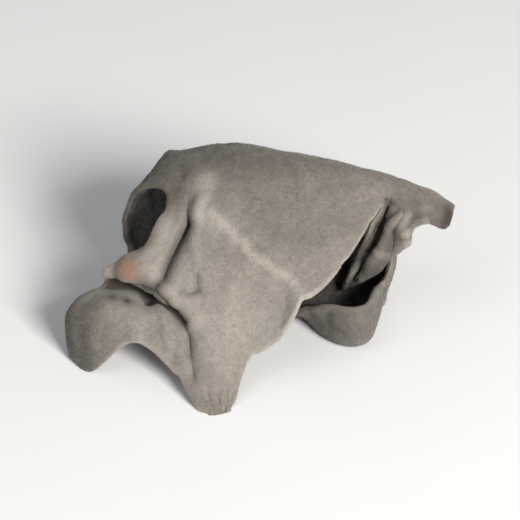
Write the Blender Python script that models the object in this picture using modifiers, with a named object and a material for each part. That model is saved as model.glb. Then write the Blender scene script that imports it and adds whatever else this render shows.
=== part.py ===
"""A dried wood ear mushroom: one ear-shaped sheet of fungus flesh, folded like a tent.

The ear is one grown piece, so it is one solid. The middle of its flesh is a smooth surface through a net
of stations, placed by hand in millimetres. The rows of the net go from the front margin up over the crest
and down the back; the columns go from the stem end on the left to the rolled spout on the right. Creases,
ribs and waves are then raised on that surface, and the sheet is given its thickness.
"""

import math

import bmesh
import bpy
from mathutils import Vector, kdtree, noise

MM = 0.001

# Driving sizes, in millimetres.
FLESH = 0.95  # thickness of the dried sheet
STEM_FLESH = 1.9  # thickness at the stem, where the ear grew from the wood
STEM_REACH = 2.2  # how far from the stem the flesh is thicker
NOTCH_FLESH = 0.55  # thickness at the tight notch where the free edge meets the spout
NOTCH_REACH = 2.0  # how far from the notch the flesh is thinner
SPOUT_FLESH = 0.55  # thickness at the end of the spout
SPOUT_REACH = 3.5  # how far from the end of the spout the flesh is thinner
CENTRE = (-0.36, 1.62)  # the point of the plan that goes to the origin
ACROSS_CELLS = 58  # faces from the stem end to the spout
OVER_CELLS = 38  # faces from the front margin over the crest to the back margin

# Stations of the net, (x, y, z) in millimetres, from the stem end to the spout.
FRONT_MARGIN = [
    (-22.1, -3.2, 0.0), (-19.4, -5.9, 0.1), (-14.6, -6.7, 4.7), (-10.0, -9.1, 2.2), (-6.8, -13.2, -0.4),
    (-4.0, -13.0, -0.7), (-2.0, -8.4, 2.7), (2.1, -6.3, 5.1), (5.6, -4.9, 8.8), (10.1, 0.9, 12.0),
    (13.5, 5.7, 14.7), (9.2, 7.2, 2.4), (13.9, 5.5, 6.9), (18.1, 6.0, 12.9), (20.9, 5.3, 12.6),
]
FRONT_LOW = [
    (-22.3, -1.6, 5.0), (-19.2, -4.6, 7.3), (-14.6, -4.9, 7.6), (-10.6, -5.6, 6.4), (-7.4, -8.6, 5.2),
    (-4.6, -8.4, 5.4), (-2.8, -5.8, 7.1), (1.3, -3.6, 9.6), (5.0, -1.2, 11.5), (9.4, 2.6, 14.0),
    (13.4, 5.95, 15.4), (12.0, 7.1, 6.4), (14.7, 5.0, 9.3), (18.2, 5.1, 13.5), (21.1, 4.65, 12.9),
]
FRONT_TUCK = [
    (-18.2, -0.6, 8.6), (-15.2, -1.2, 8.6), (-12.8, -2.0, 7.8), (-11.0, -2.8, 7.4), (-8.0, -6.0, 7.4),
    (-4.8, -6.0, 7.8), (-2.8, -3.9, 9.4), (1.3, -1.9, 11.5), (5.1, 0.4, 12.8), (9.4, 3.4, 14.8),
    (13.5, 6.1, 15.75), (13.9, 6.8, 10.4), (15.4, 4.8, 11.8), (18.4, 4.8, 14.0), (21.3, 4.5, 13.3),
]
FRONT_MID = [
    (-18.0, -0.4, 10.4), (-14.9, -2.5, 11.2), (-12.2, -3.6, 10.6), (-10.2, -4.0, 10.0), (-7.4, -3.8, 9.5),
    (-4.6, -2.9, 10.4), (-2.7, -1.6, 11.9), (1.3, 0.2, 13.6), (5.2, 2.2, 14.3), (9.4, 4.4, 15.7),
    (13.6, 6.35, 16.2), (14.5, 6.0, 13.5), (15.8, 5.0, 13.6), (18.6, 4.85, 14.5), (21.4, 4.45, 13.6),
]
FRONT_HIGH = [
    (-13.0, 0.1, 13.0), (-11.6, -0.2, 13.8), (-10.2, 0.5, 14.4), (-8.6, 1.5, 14.8), (-6.4, 2.0, 15.6),
    (-4.2, 2.7, 16.2), (-2.3, 3.5, 16.5), (1.7, 4.6, 16.8), (5.4, 5.3, 17.0), (9.2, 6.1, 17.4),
    (13.7, 6.8, 16.7), (14.8, 6.3, 15.2), (16.3, 5.5, 15.2), (18.7, 5.5, 15.3), (21.6, 4.95, 14.1),
]
CREST = [
    (-11.2, 4.1, 17.3), (-10.3, 5.5, 17.6), (-9.2, 7.1, 18.2), (-8.0, 8.4, 18.8), (-6.2, 9.0, 19.4),
    (-4.0, 9.2, 19.8), (-2.0, 9.2, 19.9), (1.8, 8.7, 19.6), (5.2, 8.2, 19.2), (9.2, 7.9, 18.5),
    (13.5, 7.9, 17.3), (14.9, 7.7, 16.9), (16.3, 7.2, 16.7), (18.8, 6.6, 15.75), (21.8, 5.75, 14.35),
]
BACK_HIGH = [
    (-14.2, 6.3, 16.3), (-12.8, 8.2, 16.2), (-11.2, 10.2, 16.1), (-9.3, 11.7, 15.8), (-6.8, 12.9, 16.1),
    (-4.3, 13.9, 16.2), (-2.0, 13.4, 16.3), (2.4, 12.2, 16.0), (6.3, 12.7, 15.6), (10.3, 12.2, 15.2),
    (14.0, 10.3, 15.2), (15.4, 9.6, 15.2), (16.8, 8.7, 15.3), (19.0, 7.6, 15.4), (21.9, 6.5, 14.1),
]
BACK_MID = [
    (-15.8, 7.4, 11.6), (-14.2, 9.6, 11.4), (-12.4, 11.6, 11.2), (-10.6, 12.6, 11.4), (-7.5, 13.6, 11.3),
    (-4.5, 15.6, 10.8), (-1.8, 14.8, 10.4), (3.0, 13.3, 9.0), (7.6, 14.3, 7.6), (11.5, 13.4, 7.6),
    (13.8, 11.2, 8.6), (14.8, 10.4, 10.6), (16.0, 9.6, 13.0), (19.0, 8.35, 14.8), (21.9, 6.9, 13.7),
]
BACK_LOW = [
    (-14.8, 8.5, 6.4), (-14.0, 10.8, 5.8), (-12.8, 12.4, 5.0), (-11.1, 13.6, 5.0), (-7.8, 13.5, 5.2),
    (-4.5, 15.4, 4.6), (-1.4, 14.6, 3.6), (3.6, 12.0, 1.8), (8.2, 8.4, 0.5), (11.7, 7.4, 0.9),
    (14.0, 8.0, 2.8), (14.9, 9.0, 5.4), (15.5, 9.5, 11.4), (18.7, 8.6, 13.9), (21.7, 7.05, 13.2),
]
BACK_FOOT = [
    (-15.6, 9.6, 2.9), (-14.6, 12.0, 3.2), (-13.4, 13.8, 2.2), (-11.6, 14.8, 2.2), (-8.0, 14.4, 3.4),
    (-4.6, 15.1, 1.8), (-0.9, 12.8, 0.6), (3.6, 8.2, 0.3), (7.3, 1.2, 0.5), (10.7, -0.9, 1.0),
    (12.6, 1.2, 2.2), (14.3, 6.2, 3.4), (15.5, 8.9, 10.0), (18.2, 8.4, 13.2), (21.4, 6.9, 12.8),
]
BACK_MARGIN = [
    (-17.0, 10.5, -0.2), (-15.4, 13.2, 1.7), (-14.1, 14.9, 0.2), (-12.0, 16.0, -0.5), (-8.2, 15.2, 2.3),
    (-4.8, 15.4, -0.3), (-0.6, 10.8, 0.3), (3.0, 4.4, 1.8), (6.3, -0.6, 5.4), (10.0, -1.6, 6.5),
    (12.1, 0.6, 6.7), (14.0, 3.6, 6.2), (15.6, 7.9, 9.0), (17.5, 8.0, 12.2), (21.1, 6.6, 12.5),
]
NET = [
    [Vector(station) for station in row]
    for row in (
        FRONT_MARGIN, FRONT_LOW, FRONT_TUCK, FRONT_MID, FRONT_HIGH, CREST,
        BACK_HIGH, BACK_MID, BACK_LOW, BACK_FOOT, BACK_MARGIN,
    )
]
COLUMNS = len(CREST) - 1  # spans of the net from the stem end to the spout
ROWS = len(NET) - 1  # spans of the net from the front margin to the back margin

# Places on the sheet, by column and row of the net.
STEM = (0.9, 3.1)
NOTCH = (10.0, 0.0)  # where the free edge turns sharply down into the flap
SPOUT = (14.0, 5.0)  # the end of the rolled spout

# Folds, each as (height, width, path): how far it stands out or sinks in and how wide it is, in
# millimetres, then the columns and rows of the net that it passes through.
SHARP_FOLDS = [
    # The ridge that runs across the front.
    (2.3, 3.6, [(4.3, 3.97), (5.3, 3.63), (6.1, 3.33), (6.72, 2.5), (7.04, 1.6), (7.75, 0.4), (7.95, 0.0)]),
]
SOFT_FOLDS = [
    # The rolled rim, and the slit inside it.
    (0.45, 1.1, [(1.1, 4.3), (1.2, 3.5), (1.9, 3.15), (2.9, 2.9), (3.6, 2.6), (4.1, 2.0)]),
    (-0.7, 0.7, [(3.0, 4.1), (2.7, 3.7), (2.35, 3.3)]),
    # The tuck of the small lobe, and the furrow between its two swellings.
    (-0.7, 0.9, [(1.9, 1.8), (2.6, 1.9), (3.25, 1.8), (3.7, 1.2), (3.75, 0.5)]),
    (-0.5, 1.2, [(2.2, 1.6), (2.4, 0.6)]),
    # Down the flap that hangs behind the free edge.
    (0.7, 1.0, [(11.7, 0.0), (11.8, 2.6)]),
]
BACK_FOLDS = [
    # A ridge down the back, and the furrow that runs down to meet it.
    (1.7, 2.2, [(2.4, 5.7), (4.4, 7.0), (6.4, 7.8), (7.4, 9.0)]),
    (-1.1, 1.8, [(9.2, 6.3), (8.5, 6.8), (7.8, 7.6)]),
]
PATH_STEPS = 60  # points along each stretch of a path
NUDGE = 0.02  # the part of a column or row over which the sheet's slope is taken
WAVES = [(0.4, 4.5), (0.25, 1.8)]  # height and length of the sheet's uneven waves
TAUT = 0.75  # how much of the waves is missing where the sheet is drawn taut
TAUT_CREST = (5.2, 0.9)  # the row that is most taut over the crest, and how many rows share in it
TAUT_ROWS = (4.7, 3.9)  # rows, and columns on either side, over which the front panels grow taut
TAUT_LEFT = (3.0, 4.2)
TAUT_RIGHT = (10.4, 9.6)
RIB_HEIGHT = 0.85  # height of the soft ribs down the back
RIB_TURN = 2.1  # radians of rib for each column
RIB_SWAY = 0.9  # how far a rib leans from side to side, in radians, and how often for each row
RIB_ROWS = (5.9, 7.4)  # rows, from the crest down the back, over which the ribs grow to full
RIB_COLUMNS = (11.5, 9.5)  # columns, from the spout towards the stem, over which they do so too
GROUND_FADE = (0.6, 3.0)  # heights between which waves and back folds grow from nothing to full


def through(stations, at):
    """The point on a smooth curve through the stations, at a station number that may be a fraction."""
    last = len(stations) - 1
    first = min(max(int(at), 0), last - 1)
    t = at - first
    a, b = stations[first], stations[first + 1]
    before = stations[first - 1] if first > 0 else a * 2 - b
    after = stations[first + 2] if first + 2 <= last else b * 2 - a
    slope_a = (b - before) / 2
    slope_b = (after - a) / 2
    return (
        a * (2 * t**3 - 3 * t**2 + 1)
        + slope_a * (t**3 - 2 * t**2 + t)
        + b * (3 * t**2 - 2 * t**3)
        + slope_b * (t**3 - t**2)
    )


def sheet_point(column, row):
    """The middle of the flesh before creasing, in millimetres."""
    return through([through(stations, column) for stations in NET], row)


def sheet_normal(column, row):
    """The direction from the flesh towards its outer, velvety side."""
    along = sheet_point(min(column + NUDGE, COLUMNS), row) - sheet_point(max(column - NUDGE, 0), row)
    over = sheet_point(column, min(row + NUDGE, ROWS)) - sheet_point(column, max(row - NUDGE, 0))
    return along.cross(over).normalized()


def path_on_sheet(places):
    """A lookup of the nearest point on a path over the sheet, given its corners' columns and rows."""
    tree = kdtree.KDTree((len(places) - 1) * (PATH_STEPS + 1))
    for start, end in zip(places, places[1:]):
        for step in range(PATH_STEPS + 1):
            place = Vector(start).lerp(Vector(end), step / PATH_STEPS)
            tree.insert(sheet_point(*place), 0)
    tree.balance()
    return tree


def lay_out(folds):
    """The same folds, with each path as a lookup of its nearest point."""
    return [(height, width, path_on_sheet(places)) for height, width, places in folds]


def sharp_height(folds, point):
    return sum(height * math.exp(-path.find(point)[2] / width) for height, width, path in folds)


def soft_height(folds, point):
    return sum(height * hump(path.find(point)[2], width) for height, width, path in folds)


def hump(distance, width):
    """1 on the spot, falling smoothly to nothing over about twice the width."""
    return math.exp(-((distance / width) ** 2))


def share_between(value, low, high):
    """0 at or below low, 1 at or above high, and in proportion between."""
    return min(max((value - low) / (high - low), 0.0), 1.0)


def back_ribs(column, row):
    """Soft ribs down the back, from below the crest to the ground, dying out before the spout."""
    here = share_between(row, *RIB_ROWS) * share_between(column, *RIB_COLUMNS)
    return RIB_HEIGHT * here * math.sin(RIB_TURN * column + RIB_SWAY * math.sin(RIB_SWAY * row))


def calm(column, row):
    """The share of the waves that is left here, which is small on the front panels and over the crest."""
    panels = share_between(column, *TAUT_LEFT) * share_between(column, *TAUT_RIGHT)
    panels *= share_between(row, *TAUT_ROWS)
    return 1 - TAUT * max(panels, hump(row - TAUT_CREST[0], TAUT_CREST[1]))


def relief(column, row, point, sharp, soft, back):
    """How far the sheet stands out from its smooth form here, in millimetres."""
    loose = sharp_height(back, point) + back_ribs(column, row)
    loose += calm(column, row) * sum(height * noise.noise(point / length) for height, length in WAVES)
    fixed = sharp_height(sharp, point) + soft_height(soft, point)
    return fixed + loose * share_between(point.z, *GROUND_FADE)


def flesh_at(point):
    """The thickness of the flesh at this point, in millimetres."""
    near_stem = hump((point - sheet_point(*STEM)).length, STEM_REACH)
    near_notch = hump((point - sheet_point(*NOTCH)).length, NOTCH_REACH)
    near_spout = hump((point - sheet_point(*SPOUT)).length, SPOUT_REACH)
    thick = FLESH + (STEM_FLESH - FLESH) * near_stem
    return thick + (NOTCH_FLESH - FLESH) * near_notch + (SPOUT_FLESH - FLESH) * near_spout


def make_sheet():
    """The creased sheet with no thickness, and how thick the flesh is at each of its vertices."""
    folds = [lay_out(SHARP_FOLDS), lay_out(SOFT_FOLDS), lay_out(BACK_FOLDS)]
    mesh = bpy.data.meshes.new("ear")
    bm = bmesh.new()
    bmesh.ops.create_grid(bm, x_segments=ACROSS_CELLS, y_segments=OVER_CELLS, size=0.5)
    shares = []
    for vert in bm.verts:
        column = (vert.co.x + 0.5) * COLUMNS
        row = (vert.co.y + 0.5) * ROWS
        point = sheet_point(column, row)
        point += sheet_normal(column, row) * relief(column, row, point, *folds)
        vert.co = (point - Vector((*CENTRE, 0))) * MM
        shares.append(flesh_at(point) / STEM_FLESH)
    bm.to_mesh(mesh)
    bm.free()
    return mesh, shares


def make_ear():
    mesh, shares = make_sheet()
    ear = bpy.data.objects.new("ear", mesh)
    bpy.context.scene.collection.objects.link(ear)
    flesh = ear.vertex_groups.new(name="flesh")
    for index, share in enumerate(shares):
        flesh.add([index], share, "REPLACE")
    shell = ear.modifiers.new("flesh", "SOLIDIFY")
    shell.thickness = STEM_FLESH * MM
    shell.vertex_group = flesh.name
    shell.offset = 0.0
    return ear


def rest_flat(ear):
    """Bake the thickness in, and press the feet flat where they stand."""
    graph = bpy.context.evaluated_depsgraph_get()
    mesh = bpy.data.meshes.new_from_object(ear.evaluated_get(graph))
    ear.modifiers.clear()
    ear.data = mesh
    for vert in mesh.vertices:
        vert.co.z = max(vert.co.z, 0.0)
    mesh.shade_smooth()


def skin():
    material = bpy.data.materials.new("dried wood ear")
    material.use_nodes = True
    surface = material.node_tree.nodes["Principled BSDF"]
    surface.inputs["Base Color"].default_value = (0.26, 0.22, 0.18, 1)
    surface.inputs["Roughness"].default_value = 0.9
    surface.inputs["Metallic"].default_value = 0.0
    return material


for old in list(bpy.data.objects):
    bpy.data.objects.remove(old)
the_ear = make_ear()
rest_flat(the_ear)
the_ear.data.materials.append(skin())
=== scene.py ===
"""The looks of a dried wood ear mushroom: its creased flesh, its velvet of fine hairs, and its stage.

The flesh follows the same net of stations as the solid ear, with a much finer grid, so that its creases are
crisp and its gathers, pits, puckers and shrinkage wrinkles stand in the mesh. It stands for the solid ear.
The net and everything raised on it are in millimetres.
"""

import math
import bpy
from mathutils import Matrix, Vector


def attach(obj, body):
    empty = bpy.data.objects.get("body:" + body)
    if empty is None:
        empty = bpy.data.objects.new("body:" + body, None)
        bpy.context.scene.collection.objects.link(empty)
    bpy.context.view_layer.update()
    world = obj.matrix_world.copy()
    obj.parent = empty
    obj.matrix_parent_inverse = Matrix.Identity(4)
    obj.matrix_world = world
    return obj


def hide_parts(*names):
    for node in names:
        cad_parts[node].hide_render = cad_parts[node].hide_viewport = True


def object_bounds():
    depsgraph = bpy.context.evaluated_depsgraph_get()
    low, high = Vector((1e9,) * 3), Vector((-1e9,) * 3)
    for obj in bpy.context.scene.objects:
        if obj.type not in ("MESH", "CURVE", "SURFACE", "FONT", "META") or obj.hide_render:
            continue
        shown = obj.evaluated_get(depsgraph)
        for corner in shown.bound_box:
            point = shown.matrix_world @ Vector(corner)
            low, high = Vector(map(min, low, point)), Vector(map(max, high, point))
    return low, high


bl_info = {
    "name": "Dried wood ear mushroom",
    "version": (1, 0, 0),
    "blender": (4, 5, 0),
    "location": "3D View > Sidebar > Wood ear",
    "description": "Builds the creased flesh and velvet of a dried wood ear mushroom, and its stage",
    "category": "Add Mesh",
}

from functools import lru_cache

import bmesh
import bpy
import numpy as np
from bpy.props import FloatProperty, FloatVectorProperty, IntProperty, PointerProperty
from bpy.types import NodeSocket, Operator, Panel, PropertyGroup
from mathutils import Vector, kdtree, noise

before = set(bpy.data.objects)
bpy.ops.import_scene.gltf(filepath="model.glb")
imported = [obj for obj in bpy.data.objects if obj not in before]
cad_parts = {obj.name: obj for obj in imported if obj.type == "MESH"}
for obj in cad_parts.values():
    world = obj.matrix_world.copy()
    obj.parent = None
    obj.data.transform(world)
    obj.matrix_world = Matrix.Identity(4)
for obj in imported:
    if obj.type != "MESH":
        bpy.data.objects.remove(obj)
SOLID_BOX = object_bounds()
MM = 0.001

# Stations of the net, (x, y, z) in millimetres, from the stem end to the spout.
CENTRE = (-0.36, 1.62)  # the point of the plan that goes to the origin
FRONT_MARGIN = [
    (-22.1, -3.2, 0.0), (-19.4, -5.9, 0.1), (-14.6, -6.7, 4.7), (-10.0, -9.1, 2.2), (-6.8, -13.2, -0.4),
    (-4.0, -13.0, -0.7), (-2.0, -8.4, 2.7), (2.1, -6.3, 5.1), (5.6, -4.9, 8.8), (10.1, 0.9, 12.0),
    (13.5, 5.7, 14.7), (9.2, 7.2, 2.4), (13.9, 5.5, 6.9), (18.1, 6.0, 12.9), (20.9, 5.3, 12.6),
]
FRONT_LOW = [
    (-22.3, -1.6, 5.0), (-19.2, -4.6, 7.3), (-14.6, -4.9, 7.6), (-10.6, -5.6, 6.4), (-7.4, -8.6, 5.2),
    (-4.6, -8.4, 5.4), (-2.8, -5.8, 7.1), (1.3, -3.6, 9.6), (5.0, -1.2, 11.5), (9.4, 2.6, 14.0),
    (13.4, 5.95, 15.4), (12.0, 7.1, 6.4), (14.7, 5.0, 9.3), (18.2, 5.1, 13.5), (21.1, 4.65, 12.9),
]
FRONT_TUCK = [
    (-18.2, -0.6, 8.6), (-15.2, -1.2, 8.6), (-12.8, -2.0, 7.8), (-11.0, -2.8, 7.4), (-8.0, -6.0, 7.4),
    (-4.8, -6.0, 7.8), (-2.8, -3.9, 9.4), (1.3, -1.9, 11.5), (5.1, 0.4, 12.8), (9.4, 3.4, 14.8),
    (13.5, 6.1, 15.75), (13.9, 6.8, 10.4), (15.4, 4.8, 11.8), (18.4, 4.8, 14.0), (21.3, 4.5, 13.3),
]
FRONT_MID = [
    (-18.0, -0.4, 10.4), (-14.9, -2.5, 11.2), (-12.2, -3.6, 10.6), (-10.2, -4.0, 10.0), (-7.4, -3.8, 9.5),
    (-4.6, -2.9, 10.4), (-2.7, -1.6, 11.9), (1.3, 0.2, 13.6), (5.2, 2.2, 14.3), (9.4, 4.4, 15.7),
    (13.6, 6.35, 16.2), (14.5, 6.0, 13.5), (15.8, 5.0, 13.6), (18.6, 4.85, 14.5), (21.4, 4.45, 13.6),
]
FRONT_HIGH = [
    (-13.0, 0.1, 13.0), (-11.6, -0.2, 13.8), (-10.2, 0.5, 14.4), (-8.6, 1.5, 14.8), (-6.4, 2.0, 15.6),
    (-4.2, 2.7, 16.2), (-2.3, 3.5, 16.5), (1.7, 4.6, 16.8), (5.4, 5.3, 17.0), (9.2, 6.1, 17.4),
    (13.7, 6.8, 16.7), (14.8, 6.3, 15.2), (16.3, 5.5, 15.2), (18.7, 5.5, 15.3), (21.6, 4.95, 14.1),
]
CREST = [
    (-11.2, 4.1, 17.3), (-10.3, 5.5, 17.6), (-9.2, 7.1, 18.2), (-8.0, 8.4, 18.8), (-6.2, 9.0, 19.4),
    (-4.0, 9.2, 19.8), (-2.0, 9.2, 19.9), (1.8, 8.7, 19.6), (5.2, 8.2, 19.2), (9.2, 7.9, 18.5),
    (13.5, 7.9, 17.3), (14.9, 7.7, 16.9), (16.3, 7.2, 16.7), (18.8, 6.6, 15.75), (21.8, 5.75, 14.35),
]
BACK_HIGH = [
    (-14.2, 6.3, 16.3), (-12.8, 8.2, 16.2), (-11.2, 10.2, 16.1), (-9.3, 11.7, 15.8), (-6.8, 12.9, 16.1),
    (-4.3, 13.9, 16.2), (-2.0, 13.4, 16.3), (2.4, 12.2, 16.0), (6.3, 12.7, 15.6), (10.3, 12.2, 15.2),
    (14.0, 10.3, 15.2), (15.4, 9.6, 15.2), (16.8, 8.7, 15.3), (19.0, 7.6, 15.4), (21.9, 6.5, 14.1),
]
BACK_MID = [
    (-15.8, 7.4, 11.6), (-14.2, 9.6, 11.4), (-12.4, 11.6, 11.2), (-10.6, 12.6, 11.4), (-7.5, 13.6, 11.3),
    (-4.5, 15.6, 10.8), (-1.8, 14.8, 10.4), (3.0, 13.3, 9.0), (7.6, 14.3, 7.6), (11.5, 13.4, 7.6),
    (13.8, 11.2, 8.6), (14.8, 10.4, 10.6), (16.0, 9.6, 13.0), (19.0, 8.35, 14.8), (21.9, 6.9, 13.7),
]
BACK_LOW = [
    (-14.8, 8.5, 6.4), (-14.0, 10.8, 5.8), (-12.8, 12.4, 5.0), (-11.1, 13.6, 5.0), (-7.8, 13.5, 5.2),
    (-4.5, 15.4, 4.6), (-1.4, 14.6, 3.6), (3.6, 12.0, 1.8), (8.2, 8.4, 0.5), (11.7, 7.4, 0.9),
    (14.0, 8.0, 2.8), (14.9, 9.0, 5.4), (15.5, 9.5, 11.4), (18.7, 8.6, 13.9), (21.7, 7.05, 13.2),
]
BACK_FOOT = [
    (-15.6, 9.6, 2.9), (-14.6, 12.0, 3.2), (-13.4, 13.8, 2.2), (-11.6, 14.8, 2.2), (-8.0, 14.4, 3.4),
    (-4.6, 15.1, 1.8), (-0.9, 12.8, 0.6), (3.6, 8.2, 0.3), (7.3, 1.2, 0.5), (10.7, -0.9, 1.0),
    (12.6, 1.2, 2.2), (14.3, 6.2, 3.4), (15.5, 8.9, 10.0), (18.2, 8.4, 13.2), (21.4, 6.9, 12.8),
]
BACK_MARGIN = [
    (-17.0, 10.5, -0.2), (-15.4, 13.2, 1.7), (-14.1, 14.9, 0.2), (-12.0, 16.0, -0.5), (-8.2, 15.2, 2.3),
    (-4.8, 15.4, -0.3), (-0.6, 10.8, 0.3), (3.0, 4.4, 1.8), (6.3, -0.6, 5.4), (10.0, -1.6, 6.5),
    (12.1, 0.6, 6.7), (14.0, 3.6, 6.2), (15.6, 7.9, 9.0), (17.5, 8.0, 12.2), (21.1, 6.6, 12.5),
]
NET = [
    [Vector(station) for station in row]
    for row in (
        FRONT_MARGIN, FRONT_LOW, FRONT_TUCK, FRONT_MID, FRONT_HIGH, CREST,
        BACK_HIGH, BACK_MID, BACK_LOW, BACK_FOOT, BACK_MARGIN,
    )
]
COLUMNS = len(CREST) - 1  # spans of the net from the stem end to the spout
ROWS = len(NET) - 1  # spans of the net from the front margin to the back margin

# Places on the sheet, by column and row of the net.
STEM = (0.9, 3.1)
SCAR = (0.92, 3.2)  # the orange-brown mark where the stem broke from the wood
NOTCH = (10.0, 0.0)  # where the free edge turns sharply down into the flap
SPOUT = (14.0, 5.0)  # the end of the rolled spout
TIP = (4.7, 0.0)  # the puckered tip at the front

# Folds, each as (height, width, path): how far it stands out or sinks in and how wide it is, in
# millimetres, then the columns and rows of the net that it passes through.
# Creases have a crisp top, and folds a round one.
CREASES = [
    # The ridge that runs across the front.
    (2.3, 3.6, [(4.3, 3.97), (5.3, 3.63), (6.1, 3.33), (6.72, 2.5), (7.04, 1.6), (7.75, 0.4), (7.95, 0.0)]),
]
FOLDS = [
    # The rolled rim, and the slit inside it.
    (0.45, 1.1, [(1.1, 4.3), (1.2, 3.5), (1.9, 3.15), (2.9, 2.9), (3.6, 2.6), (4.1, 2.0)]),
    (-0.7, 0.7, [(3.05, 4.1), (2.6, 3.75), (2.25, 3.3)]),
    # The tuck of the small lobe, and the furrow between its two swellings.
    (-0.7, 0.9, [(1.9, 1.8), (2.6, 1.9), (3.25, 1.8), (3.7, 1.2), (3.75, 0.5)]),
    (-0.5, 1.2, [(2.2, 1.6), (2.4, 0.6)]),
    # Down the flap that hangs behind the free edge.
    (0.7, 1.0, [(11.7, 0.0), (11.8, 2.6)]),
]
# Those of the fine folds that sink in get painted shade at the bottom.
FINE_FOLDS = [
    # The bottom of the slit, its right wall, and the thin lip between the slit and the rim.
    (-1.0, 0.55, [(3.1, 4.0), (2.75, 3.95), (2.45, 3.8), (2.25, 3.6), (2.2, 3.38), (2.35, 3.15)]),
    (-0.55, 0.55, [(3.4, 3.95), (3.1, 3.83), (2.8, 3.68), (2.6, 3.5), (2.5, 3.25)]),
    (0.25, 0.35, [(2.15, 4.07), (1.9, 3.86), (1.7, 3.56), (1.7, 3.3)]),
    # Low folds that come down beside the slit, and the dimple where one of them dies out.
    (0.4, 0.45, [(3.9, 4.25), (3.5, 3.75), (3.75, 3.45)]),
    (0.3, 0.4, [(2.75, 4.7), (2.43, 4.38), (2.35, 4.1)]),
    (-0.35, 0.5, [(3.85, 3.3), (4.0, 3.05), (3.65, 2.98), (3.3, 3.0)]),
    # The dark line under the rolled rim.
    (-0.6, 0.42, [(1.6, 2.7), (2.2, 2.85), (2.9, 2.75), (3.55, 2.33), (3.87, 1.88)]),
    (-0.35, 0.55, [(3.87, 1.88), (3.8, 1.4), (3.6, 0.75)]),
    # The dark band between the stem knob and the small lobe.
    (-0.8, 0.7, [(0.3, 2.35), (0.65, 2.58), (1.1, 2.75), (1.53, 2.9), (1.95, 2.95)]),
    (-0.5, 0.6, [
        (0.35, 2.1), (0.7, 2.2), (1.1, 2.3), (1.6, 2.42), (2.1, 2.5), (2.7, 2.4), (3.3, 2.1), (3.65, 1.75),
    ]),
    (-0.6, 0.8, [(0.3, 1.85), (0.7, 1.95), (1.1, 2.02), (1.6, 2.1), (2.0, 2.2)]),
    # The crease that parts the small lobe, and its gathers.
    (-0.12, 0.6, [(2.0, 1.8), (2.2, 1.3), (2.3, 0.8), (2.3, 0.2)]),
    (0.3, 0.9, [(0.4, 1.9), (0.35, 1.3), (0.4, 0.7)]),
    (0.25, 0.5, [(1.3, 1.1), (1.1, 0.6), (1.2, 0.2)]),
    (0.35, 0.4, [(2.5, 1.7), (2.85, 1.1), (2.95, 0.5)]),
    # The furrows of the crumpled flap.
    (-0.4, 0.4, [(11.2, 0.1), (11.25, 1.4), (10.9, 2.6)]),
    (-0.4, 0.3, [(11.95, 0.0), (12.0, 1.4), (11.8, 2.6)]),
    (-0.3, 0.35, [(12.8, 0.4), (12.6, 1.6), (12.7, 2.6)]),
    (-0.35, 0.4, [(11.3, 0.5), (12.0, 0.4), (12.6, 0.1)]),
    # The tuck where the spout leaves the free edge.
    (-0.5, 0.4, [(10.6, 1.2), (10.55, 2.6), (10.7, 3.7)]),
]
# Folds with a painted highlight on top.
HIGHLIGHTED_FOLDS = [
    # The soft band from the top of the rolled rim to the start of the ridge.
    (0.15, 1.1, [(4.0, 4.48), (3.93, 4.3), (3.87, 4.0), (4.4, 3.82)]),
    (0.05, 0.9, [(3.75, 4.5), (3.8, 4.0)]),
    # The ridges of the crumpled flap.
    (0.35, 0.28, [(10.75, 0.1), (10.8, 1.0)]),
    (0.4, 0.28, [(11.55, 0.2), (11.75, 1.3), (11.6, 2.6), (11.9, 3.3)]),
    (0.4, 0.28, [(12.45, 0.1), (12.4, 1.4), (12.15, 2.6), (12.2, 3.4)]),
    (0.3, 0.25, [(11.75, 1.2), (12.1, 0.8), (12.45, 0.9)]),
    (0.3, 0.25, [(12.3, 1.9), (12.8, 1.7), (13.1, 1.9)]),
    # Veins that fan out down the back.
    (0.45, 0.5, [(3.4, 6.2), (3.8, 7.2), (3.5, 9.3)]),
    (0.4, 0.5, [(5.8, 6.2), (6.5, 7.0), (8.9, 8.1)]),
    (0.4, 0.5, [(1.6, 6.3), (1.9, 7.4), (1.5, 9.2)]),
    (0.4, 0.5, [(10.2, 6.3), (9.5, 7.1), (9.9, 8.3)]),
    (0.35, 0.45, [(7.2, 6.2), (7.7, 6.7), (10.3, 7.6)]),
]
BACK_CREASES = [
    # A ridge down the back, and the furrow that runs down to meet it.
    (1.7, 2.2, [(2.4, 5.7), (4.4, 7.0), (6.4, 7.8), (7.4, 9.0)]),
    (-1.1, 1.8, [(9.2, 6.3), (8.5, 6.8), (7.8, 7.6)]),
]
# Small pits, as (depth, width, how much painted shade, place): shallow where the skin lies level, so that
# the painted shade at their bottoms can be seen.
PITS = [
    (0.15, 0.7, 1.3, (1.11, 1.42)), (0.15, 0.65, 1.2, (1.58, 1.42)), (0.6, 0.6, 1.0, (2.4, 1.72)),
    (0.8, 0.4, 1.0, (3.3, 4.02)), (0.5, 0.5, 0.5, (4.0, 3.05)), (0.8, 0.35, 0.9, (10.3, 2.9)),
    (0.4, 0.3, 0.4, (10.6, 3.4)),
]
PATH_STEPS = 60  # points along each stretch of a path
NUDGE = 0.02  # the part of a column or row over which the sheet's slope is taken
CREASE_NOSE = 0.35  # how round the top of a crisp crease is

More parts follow.
